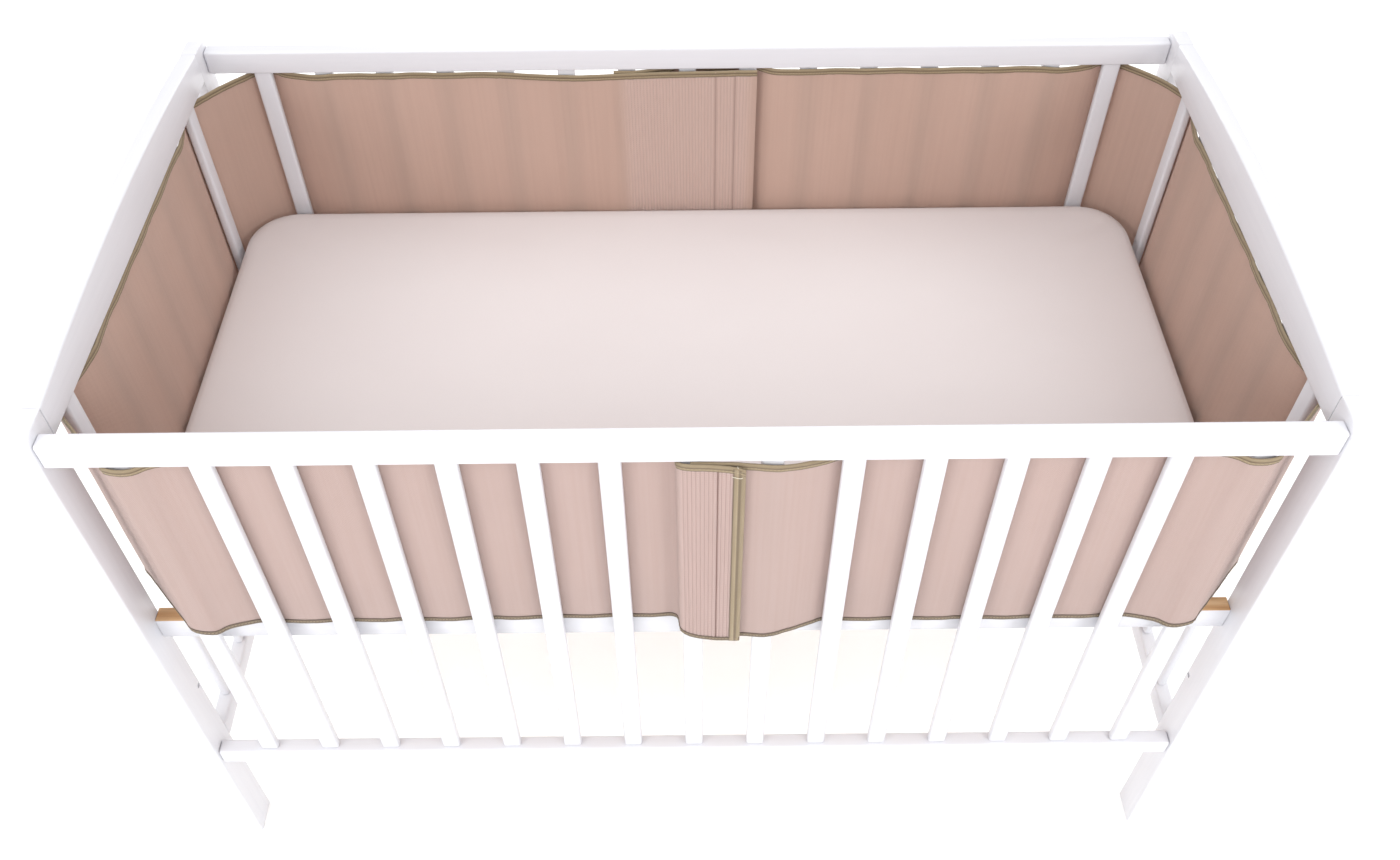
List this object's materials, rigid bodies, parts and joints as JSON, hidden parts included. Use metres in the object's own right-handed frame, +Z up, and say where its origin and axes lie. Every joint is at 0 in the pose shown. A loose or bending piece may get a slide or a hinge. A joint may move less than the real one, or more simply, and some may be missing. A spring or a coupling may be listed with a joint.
{
  "type": "crib bumper on a cot with its mattress",
  "caption": "Mesh crib bumper with bound edges, woven round the slats of a slatted cot with arched ends and closed over a slat at the middle of each long side, around its mattress.",
  "frame": {"origin": "on the floor under the middle of the cot", "axes": "+X along the cot's long side to the right, -Y to the front side where the flap closes, +Z up"},
  "size_m": [1.246, 0.6556, 0.873],
  "materials": {
    "liner_mesh": "matte dusty pink-brown warp-knit mesh",
    "binding_tape": "matte khaki folded tape with a stitch line",
    "white_paint": "satin white paint on wood",
    "bare_wood": "sawn, unfinished",
    "mattress_cover": "matte pale pink-beige fitted sheet"
  },
  "bodies": {
    "root": {"front_top_rail": "white_paint", "front_low_rail": "white_paint", "front_slat_01": "white_paint", "front_slat_02": "white_paint", "front_slat_03": "white_paint", "front_slat_04": "white_paint", "front_slat_05": "white_paint", "front_slat_06": "white_paint", "front_slat_07": "white_paint", "front_slat_08": "white_paint", "front_slat_09": "white_paint", "front_slat_10": "white_paint", "front_slat_11": "white_paint", "front_slat_12": "white_paint", "front_slat_13": "white_paint", "front_slat_14": "white_paint", "front_slat_15": "white_paint", "back_top_rail": "white_paint", "back_low_rail": "white_paint", "back_slat_01": "white_paint", "back_slat_02": "white_paint", "back_slat_03": "white_paint", "back_slat_04": "white_paint", "back_slat_05": "white_paint", "back_slat_06": "white_paint", "back_slat_07": "white_paint", "back_slat_08": "white_paint", "back_slat_09": "white_paint", "back_slat_10": "white_paint", "back_slat_11": "white_paint", "back_slat_12": "white_paint", "back_slat_13": "white_paint", "back_slat_14": "white_paint", "back_slat_15": "white_paint", "left_leg_front": "white_paint", "left_leg_back": "white_paint", "left_arched_rail": "white_paint", "left_slats_on_low_rail": "white_paint", "right_leg_front": "white_paint", "right_leg_back": "white_paint", "right_arched_rail": "white_paint", "right_slats_on_low_rail": "white_paint", "base_rail_front": "white_paint", "base_rail_back": "white_paint", "base_slat_1": "bare_wood", "base_slat_2": "bare_wood", "base_slat_3": "bare_wood", "base_slat_4": "bare_wood", "base_slat_5": "bare_wood", "base_slat_6": "bare_wood", "base_slat_7": "bare_wood", "base_slat_8": "bare_wood", "mattress": "mattress_cover", "liner_panel_left": "liner_mesh", "liner_panel_right": "liner_mesh", "liner_binding_left": "binding_tape", "liner_binding_right": "binding_tape"}
  },
  "joints": []
}
